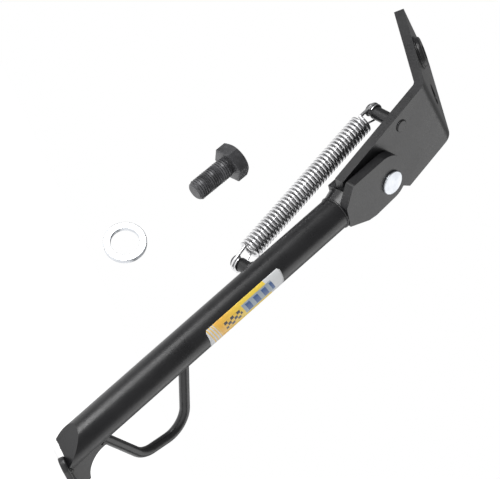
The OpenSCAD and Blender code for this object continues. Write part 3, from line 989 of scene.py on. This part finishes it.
@dataclass
class Leg:
    """Tube, fork, kick loop, foot and their welds."""

    finishes: Finishes
    wires: WireShop
    tube_radius: float = 10.0
    fork_length: float = 37.0
    post_radius: float = 4.0
    post_drop: float = 98.0
    rod_radius: float = 3.0
    bend_radius: float = 15.0
    bend_steps: int = 24
    rod_sides: int = 28
    fork_bead_radius: float = 0.7
    post_bead_radius: float = 1.2
    loop_bead_radius: float = 1.55
    foot_bead_radius: float = 1.3
    foot_bead_reach: float = 128.0
    foot_bead_steps: int = 120
    foot_bead_spread: float = 1.02
    foot_bead_front: float = -0.6
    loop: tuple[tuple[float, float], ...] = ((7.0, -163.0), (54.5, -176.0), (48.0, -207.5),
                                             (7.0, -229.5))

    def build(self) -> None:
        """Build every piece of the leg."""
        for node, width in (("leg_fork", 0.7), ("leg_tube", 0.3), ("leg_spring_post", 0.3),
                            ("foot_gusset", 0.6), ("foot_plate", 0.7), ("tube_end_plate", 0.2)):
            self.finish(rounded_copy(node, self.finishes.paint, width))
        self.kick_loop()
        self.fork_bead()
        self.post_bead()
        self.loop_beads()
        self.foot_bead()

    def finish(self, made: bpy.types.Object, *nodes: str) -> bpy.types.Object:
        """Join a painted metal piece to the leg.

        Args:
            made: the piece.
            nodes: CAD nodes that it stands for, if not yet said.

        Returns:
            The piece.
        """
        if nodes:
            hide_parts(*nodes)
        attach(made, "leg")
        return made

    def loop_path(self) -> list[Vector]:
        """Middle line of the kick loop's rod in the leg frame."""
        corners = [Vector((x, 0, z)) for x, z in self.loop]
        path = [corners[0]]
        for i in (1, 2):
            back = (corners[i - 1] - corners[i]).normalized()
            ahead = (corners[i + 1] - corners[i]).normalized()
            half = back.angle(ahead) / 2
            cut = self.bend_radius / math.tan(half)
            centre = corners[i] + (back + ahead).normalized() * self.bend_radius / math.sin(half)
            first = corners[i] + back * cut - centre
            last = corners[i] + ahead * cut - centre
            total = first.angle(last)
            for k in range(self.bend_steps + 1):
                t = k / self.bend_steps
                arm = (first * math.sin((1 - t) * total) + last * math.sin(t * total))
                path.append(centre + arm / math.sin(total))
        path.append(corners[3])
        return path

    def kick_loop(self) -> None:
        """Bent rod of the kick loop."""
        made = self.wires.wire("kick_loop_rod", self.loop_path(), PLACES.leg(), self.rod_radius,
                               self.finishes.paint, self.rod_sides)
        self.finish(made, "kick_loop")

    def on_tube(self, origin: Vector, along: Vector, side: Vector, radius: float,
                steps: int) -> list[Vector]:
        """Line where a round rod meets the tube.

        Args:
            origin: point on the rod's axis.
            along: direction of the rod, away from the tube.
            side: direction square to it.
            radius: rod radius.
            steps: number of points.

        Returns:
            Points of the joint line in the leg frame.
        """
        other = along.cross(side)
        path: list[Vector] = []
        for k in range(steps):
            a = 2 * math.pi * k / steps
            start = origin + radius * (math.cos(a) * side + math.sin(a) * other)
            qa = along.x ** 2 + along.y ** 2
            qb = 2 * (start.x * along.x + start.y * along.y)
            qc = start.x ** 2 + start.y ** 2 - self.tube_radius ** 2
            root = math.sqrt(max(0.0, qb * qb - 4 * qa * qc))
            path.append(start + along * ((-qb + root) / (2 * qa)))
        return path

    def fork_bead(self) -> None:
        """Bead between the fork's collar and the tube."""
        path = ring_path(self.tube_radius, -self.fork_length - 0.2, 150)
        made = weld_bead("fork_bead", path, PLACES.leg(), self.fork_bead_radius, True,
                         self.finishes.weld, 5)
        self.finish(made, "fork_weld")

    def post_bead(self) -> None:
        """Bead round the leg's spring post."""
        path = self.on_tube(Vector((0, 0, -self.post_drop)), Vector((0, -1, 0)),
                            Vector((1, 0, 0)), self.post_radius + 0.3, 60)
        made = weld_bead("leg_post_bead", path, PLACES.leg(), self.post_bead_radius, True,
                         self.finishes.weld, 7)
        self.finish(made, "leg_post_weld")

    def loop_beads(self) -> None:
        """Beads at both ends of the kick loop."""
        corners = [Vector((x, 0, z)) for x, z in self.loop]
        made: list[bpy.types.Object] = []
        for i, (a, b) in enumerate(((0, 1), (3, 2))):
            along = (corners[b] - corners[a]).normalized()
            path = self.on_tube(corners[a], along, Vector((0, 1, 0)), self.rod_radius + 0.4, 60)
            made.append(weld_bead(f"kick_loop_bead_{i + 1}", path, PLACES.leg(),
                                  self.loop_bead_radius, True, self.finishes.weld, 11 + i))
        for piece in made:
            self.finish(piece)
        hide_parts("kick_loop_welds")

    def foot_bead(self) -> None:
        """Bead where the tube stands on the foot plate."""
        leg, foot = PLACES.leg(), PLACES.foot()
        level = foot.translation.z
        path: list[Vector] = []
        radius = self.tube_radius * self.foot_bead_spread
        for k in range(self.foot_bead_steps + 1):
            a = math.radians(self.foot_bead_reach * (2 * k / self.foot_bead_steps - 1))
            flat = Vector((radius * math.cos(a), radius * math.sin(a), 0))
            top = leg @ flat
            down = (leg @ (flat + Vector((0, 0, -1)))) - top
            spot = flat + Vector((0, 0, -(level - top.z) / down.z))
            if ((leg @ spot) - foot.translation).x < self.foot_bead_front * MM:
                path.append(spot + Vector((0, 0, 0.5)))
        made = weld_bead("foot_bead", path, leg, self.foot_bead_radius, False,
                         self.finishes.weld, 17)
        self.finish(made, "foot_weld")


@dataclass
class Label:
    """Printed film wrapped on the tube."""

    finishes: Finishes
    top: float = 91.0
    length: float = 58.5
    radius: float = 10.0
    thick: float = 0.15
    first: float = 60.0
    turn: float = 73.0
    corner: float = 1.6
    across_steps: int = 28
    along_steps: int = 48

    def build(self) -> None:
        """Film with rounded corners and its own flat coordinates."""
        points: list[Vector] = []
        flat: list[tuple[float, float]] = []
        width = math.radians(self.turn) * self.radius
        for layer in (self.radius + 0.01, self.radius + self.thick):
            for i in range(self.along_steps + 1):
                u = i / self.along_steps
                away = min(u, 1 - u) * self.length
                trim = 0.0
                if away < self.corner:
                    trim = self.corner - math.sqrt(self.corner ** 2 - (self.corner - away) ** 2)
                for j in range(self.across_steps + 1):
                    v = j / self.across_steps
                    reach = trim + v * (width - 2 * trim)
                    a = math.radians(self.first) + reach / self.radius
                    z = -self.top - u * self.length
                    points.append(Vector((layer * math.cos(a), layer * math.sin(a), z)))
                    flat.append((1 - u, reach / width))
        wide = self.across_steps + 1
        half = (self.along_steps + 1) * wide
        faces: list[tuple[int, ...]] = []
        for i in range(self.along_steps):
            for j in range(self.across_steps):
                a, b = i * wide + j, (i + 1) * wide + j
                faces.append((a, b, b + 1, a + 1))
                faces.append((half + a, half + a + 1, half + b + 1, half + b))
        rim = list(range(wide))
        rim += [i * wide + wide - 1 for i in range(1, self.along_steps + 1)]
        rim += [self.along_steps * wide + j for j in range(wide - 2, -1, -1)]
        rim += [i * wide for i in range(self.along_steps - 1, 0, -1)]
        for k, a in enumerate(rim):
            b = rim[(k + 1) % len(rim)]
            faces.append((a, b, half + b, half + a))
        mesh = bpy.data.meshes.new("label_film")
        place = PLACES.leg()
        mesh.from_pydata([place @ p for p in points], [], faces)
        shape = bmesh.new()
        shape.from_mesh(mesh)
        bmesh.ops.recalc_face_normals(shape, faces=shape.faces)
        shape.to_mesh(mesh)
        shape.free()
        mesh.shade_smooth()
        layer = mesh.uv_layers.new(name=LabelPrint().uv_name)
        for loop in mesh.loops:
            layer.data[loop.index].uv = flat[loop.vertex_index]
        made = add_object("label_film", mesh, self.finishes.label)
        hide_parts("label")
        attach(made, "leg")


@dataclass
class Spring:
    """One of the nested springs, a single wire from hook to hook."""

    name: str
    finishes: Finishes
    wires: WireShop
    wire_radius: float
    coil_radius: float
    ring_radius: float
    ring_depth: float
    turns: int
    inset: float
    flip: float
    steps: int = 28
    hook_from: float = -20.0
    hook_sweep: float = 200.0
    hook_steps: int = 40
    shank_steps: int = 15

    def hook(self, side: Side, length: float) -> list[Vector]:
        """Hook round a post, from its free end to the coil.

        Args:
            side: which end.
            length: distance between the posts.

        Returns:
            Points of the hook in the spring frame.
        """
        path: list[Vector] = []
        for k in range(self.hook_steps + 1):
            a = math.radians(self.hook_from + self.hook_sweep * k / self.hook_steps)
            path.append(Vector((self.flip * self.ring_radius * math.cos(a), self.ring_depth,
                                self.ring_radius * math.sin(a))))
        low = Vector((-self.flip * self.ring_radius, self.ring_depth, 0))
        end = Vector((-self.flip * self.coil_radius, 0, -self.inset))
        for k in range(1, self.shank_steps):
            t = k / self.shank_steps
            ease = t * t * (3 - 2 * t)
            path.append(Vector((low.x + (end.x - low.x) * ease, low.y * (1 - ease),
                                end.z * t)))
        if side is Side.LOWER:
            path = [Vector((p.x, p.y, -length - p.z)) for p in path]
        return path

    def path(self) -> list[Vector]:
        """Middle line of the whole wire in the spring frame."""
        length = PLACES.spring_run().length
        top = self.hook(Side.UPPER, length)
        bottom = self.hook(Side.LOWER, length)
        coil: list[Vector] = []
        count = self.turns * self.steps
        run = length - 2 * self.inset
        for k in range(count + 1):
            a = math.pi + 2 * math.pi * k / self.steps
            z = -self.inset - run * k / count
            coil.append(Vector((self.flip * self.coil_radius * math.cos(a),
                                -self.coil_radius * math.sin(a), z)))
        return top + coil + list(reversed(bottom))

    def build(self) -> None:
        """Wind the spring as one wire from hook to hook."""
        place = PLACES.spring()
        made = self.wires.wire(self.name, self.path(), place, self.wire_radius,
                               self.finishes.wire, 12)
        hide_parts(f"{self.name}_upper_hook", f"{self.name}_coil",
                    f"{self.name}_lower_hook")
        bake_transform(made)


@dataclass
class LooseFixings:
    """The hexagon bolt and the spring washer that lie beside the stand."""

    finishes: Finishes
    bolt_place: tuple[float, float, float] = (41.7, 54.7, -130.4)
    bolt_turn: tuple[float, float] = (23.4, -103.7)
    washer_place: tuple[float, float, float] = (28.8, 63.3, -199.5)
    washer_turn: tuple[float, float] = (82.2, 13.8)
    thread: float = 6.0
    length: float = 25.0
    across_flats: float = 19.0
    head: float = 8.0
    washer_outside: float = 12.2
    washer_hole: float = 8.2
    washer_thick: float = 3.5
    washer_split: float = 8.0
    washer_turn_length: float = 352.0
    washer_lift: float = 0.55
    washer_squeeze: float = 0.86
    washer_slant: float = 0.096
    seat_step: float = 0.5
    seat_height: float = 0.35
    crown_start: float = 0.98
    crown_drop: float = 0.25
    crown_slope: float = math.radians(30)
    crown_top: float = 0.955
    thread_depth: float = 0.7
    thread_turns: float = 17.0
    thread_start: float = 1.4
    thread_gap: float = 1.0
    ridge_size: float = 0.62

    def place(self, spot: tuple[float, float, float], turn: tuple[float, float]) -> Matrix:
        """Matrix of a loose piece into row metres.

        Args:
            spot: its place in millimetres.
            turn: tilt and heading in degrees.

        Returns:
            The matrix.
        """
        heading = Matrix.Rotation(math.radians(turn[1]), 4, "Z")
        tilt = Matrix.Rotation(math.radians(turn[0]), 4, "Y")
        return Matrix.Scale(MM, 4) @ Matrix.Translation(spot) @ heading @ tilt

    def build(self) -> None:
        """Build the bolt and the washer."""
        for made, node, slot in ((self.bolt(), "mounting_bolt", "black_oxide"),
                                 (self.washer(), "spring_washer", "zinc_plate")):
            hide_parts(node)
            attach(made, "bracket")

    def bolt(self) -> bpy.types.Object:
        """Hexagon bolt with a chamfered head and a wound thread."""
        place = self.place(self.bolt_place, self.bolt_turn)
        points: list[Vector] = []
        faces: list[tuple[int, ...]] = []
        half = self.across_flats / 2
        steps = 72

        def reach(a: float) -> float:
            """Distance of the hexagon's side at an angle."""
            sector = math.pi / 3
            return half / math.cos((a % sector) - sector / 2)

        rows: list[list[float]] = []
        for flat in (half - self.seat_step, math.inf, math.inf):
            rows.append([min(reach(2 * math.pi * k / steps), flat) for k in range(steps)])
        levels = [[0.0] * steps, [self.seat_height] * steps, []]
        for k in range(steps):
            rise = reach(2 * math.pi * k / steps) - half * self.crown_start
            levels[2].append(self.head - self.crown_drop - rise * math.tan(self.crown_slope))
        rows.append([half * self.crown_top] * steps)
        levels.append([self.head] * steps)
        for row, level in zip(rows, levels):
            for k in range(steps):
                a = 2 * math.pi * k / steps
                points.append(Vector((row[k] * math.cos(a), row[k] * math.sin(a), level[k])))
        for i in range(len(rows) - 1):
            for k in range(steps):
                m = (k + 1) % steps
                faces.append((i * steps + k, i * steps + m, (i + 1) * steps + m,
                              (i + 1) * steps + k))
        faces.append(tuple(range(steps)))
        faces.append(tuple(range((len(rows) - 1) * steps, len(rows) * steps)))
        head = add_object("bolt_head_part", mesh_of("bolt_head_part", points, faces, place, 22),
                          self.finishes.oxide)
        core = self.thread - self.thread_depth
        shank = lathe("bolt_shank_part", [(core - 0.9, -self.length), (core, 0.8 - self.length),
                                          (core, 0.1)], place, 48)
        body = add_object("bolt_shank_part", shank, self.finishes.oxide)
        ridge = self.ridge(place)
        return joined("mounting_bolt_cut", [head, body, ridge], self.finishes.oxide)

    def ridge(self, place: Matrix) -> bpy.types.Object:
        """Wound thread of the bolt."""
        start = add_object("bolt_thread_part", bpy.data.meshes.new("bolt_thread_part"),
                           self.finishes.oxide)
        run_tree(start, thread_tree(), {
            "Turns": self.thread_turns, "Radius": self.thread - self.ridge_size,
            "Length": self.length - self.thread_gap - self.thread_start,
            "Ridge": self.ridge_size, "Material": self.finishes.oxide})
        start_height = self.thread_start - self.length
        return moved(start, place @ Matrix.Translation((0, 0, start_height)))

    def washer(self) -> bpy.types.Object:
        """Spring washer, cut on the slant and sprung a little open."""
        place = self.place(self.washer_place, self.washer_turn)
        steps = 96
        inner, outer, half = self.washer_hole, self.washer_outside, self.washer_thick / 2
        section = [(inner + 0.3, -half), (outer - 0.5, -half), (outer, -half + 0.4),
                   (outer, half - 0.4), (outer - 0.5, half), (inner + 0.3, half),
                   (inner, half - 0.3), (inner, -half + 0.3)]
        points: list[Vector] = []
        start = math.radians(4 - self.washer_split)
        for i in range(steps + 1):
            t = i / steps
            spring = self.washer_lift * (t - 0.5)
            for r, z in section:
                slant = self.washer_slant * z / half if i in (0, steps) else 0.0
                a = start + t * math.radians(self.washer_turn_length) + slant
                points.append(Vector((r * math.cos(a), r * math.sin(a),
                                      z * self.washer_squeeze + spring)))
        size = len(section)
        faces: list[tuple[int, ...]] = []
        for i in range(steps):
            for k in range(size):
                m = (k + 1) % size
                faces.append((i * size + k, i * size + m, (i + 1) * size + m,
                              (i + 1) * size + k))
        faces.append(tuple(range(size)))
        faces.append(tuple(range(steps * size, (steps + 1) * size)))
        return add_object("spring_washer_cut", mesh_of("spring_washer_cut", points, faces,
                                                       place, 30), self.finishes.zinc)


def joined(name: str, parts: list[bpy.types.Object],
           material: bpy.types.Material) -> bpy.types.Object:
    """Join parts of one solid piece into one object.

    Args:
        name: name of the piece.
        parts: objects at the origin.
        material: its finish.

    Returns:
        The piece; the parts are removed.
    """
    shape = bmesh.new()
    for part in parts:
        shape.from_mesh(part.data)
    mesh = bpy.data.meshes.new(name)
    shape.to_mesh(mesh)
    shape.free()
    for part in parts:
        bpy.data.objects.remove(part)
    mesh.set_sharp_from_angle(angle=math.radians(30))
    return add_object(name, mesh, material)


@dataclass(frozen=True)
class Lamp:
    """Soft rectangular light, placed from the camera's own directions."""

    name: str
    way: tuple[float, float, float]
    away: float
    width: float
    height: float
    power: float


LAMPS = (
    Lamp("key", (-0.35, 0.95, 0.75), 0.9, 0.5, 0.5, 5.0),
    Lamp("strip", (-0.394, 0.474, 0.788), 0.6, 0.05, 0.5, 2.2),
    Lamp("back", (0.82, -0.48, -0.3), 0.9, 0.8, 0.8, 3.0),
)


@dataclass
class Studio:
    """Pale floor, soft lights and the camera."""

    finishes: Finishes
    lens: float = 144.0
    azimuth: float = 128.828
    elevation: float = -3.791
    roll: float = 65.14
    eye: tuple[float, float, float] = (0.87843, 0.78255, -0.20940)
    world: float = 1.0
    ambient: float = 0.30
    aim: tuple[float, float, float] = (0.02, 0.09, -0.14)
    floor_radius: float = 6.0
    floor_corners: int = 48
    floor_gap: float = 0.0002
    view_range: float = 20.0

    def build(self) -> None:
        """Build floor, world, lights and camera."""
        self.floor()
        self.sky()
        self.lights()
        self.camera()

    def axes(self) -> Matrix:
        """Turn of the camera."""
        a, e = math.radians(self.azimuth), math.radians(self.elevation)
        back = Vector((math.sin(a) * math.cos(e), -math.cos(a) * math.cos(e), math.sin(e)))
        right = Vector((0, 0, 1)).cross(back).normalized()
        base = Matrix((right, back.cross(right), back)).transposed()
        return (base @ Matrix.Rotation(math.radians(self.roll), 3, "Z")).to_4x4()

    def camera(self) -> None:
        """Camera at the viewing angle, depth of field off."""
        data = bpy.data.cameras.new("camera")
        data.lens = self.lens
        data.sensor_width = 36.0
        data.dof.use_dof = False
        data.clip_end = self.view_range
        made = bpy.data.objects.new("camera", data)
        made.matrix_world = Matrix.Translation(self.eye) @ self.axes()
        bpy.context.scene.collection.objects.link(made)
        bpy.context.scene.camera = made

    def floor(self) -> None:
        """Round pale floor under the foot plate."""
        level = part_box("foot_plate")[0][2] - self.floor_gap
        mesh = bpy.data.meshes.new("floor")
        points: list[tuple[float, float, float]] = []
        for k in range(self.floor_corners):
            a = 2 * math.pi * k / self.floor_corners
            points.append((self.floor_radius * math.cos(a), self.floor_radius * math.sin(a),
                           level))
        mesh.from_pydata(points, [], [tuple(range(self.floor_corners))])
        add_object("floor", mesh, self.finishes.floor)

    def sky(self) -> None:
        """Even white surroundings."""
        world = bpy.data.worlds.new("studio")
        world.use_nodes = True
        tree = world.node_tree
        shade = tree.nodes["Background"]
        shade.inputs["Color"].default_value = (1.0, 1.0, 1.0, 1.0)
        rays = tree.nodes.new("ShaderNodeLightPath")
        level = tree.nodes.new("ShaderNodeMapRange")
        level.inputs["To Min"].default_value = self.ambient
        level.inputs["To Max"].default_value = self.world
        tree.links.new(rays.outputs["Is Camera Ray"], level.inputs["Value"])
        tree.links.new(level.outputs["Result"], shade.inputs["Strength"])
        bpy.context.scene.world = world
        bpy.context.scene.view_settings.view_transform = "Standard"

    def lights(self) -> None:
        """Large soft key, a strip along the leg and a wide light behind the plate."""
        turn = self.axes().to_3x3()
        centre = Vector(self.aim)
        for lamp in LAMPS:
            data = bpy.data.lights.new(lamp.name, "AREA")
            data.shape = "RECTANGLE"
            data.size, data.size_y = lamp.width, lamp.height
            data.energy = lamp.power
            made = bpy.data.objects.new(lamp.name, data)
            there = turn @ Vector(lamp.way).normalized()
            facing = there.to_track_quat("Z", "Y").to_matrix().to_4x4()
            made.matrix_world = Matrix.Translation(centre + there * lamp.away) @ facing
            bpy.context.scene.collection.objects.link(made)


def main() -> None:
    """Build the stand's finishes, pieces and studio."""
    logging.basicConfig(level=logging.INFO, format="%(name)s: %(message)s")
    finishes = Finishes()
    wires = WireShop()
    Bracket(finishes).build()
    Pivot(finishes).build()
    Leg(finishes, wires).build()
    Label(finishes).build()
    Spring("outer_spring", finishes, wires, wire_radius=1.0, coil_radius=5.5,
           ring_radius=4.45, ring_depth=0.0, turns=41, inset=9.5, flip=1.0).build()
    Spring("inner_spring", finishes, wires, wire_radius=0.6, coil_radius=3.4,
           ring_radius=4.7, ring_depth=2.05, turns=49, inset=9.5, flip=-1.0).build()
    LooseFixings(finishes).build()
    Studio(finishes).build()


if __name__ == "__main__":
    main()
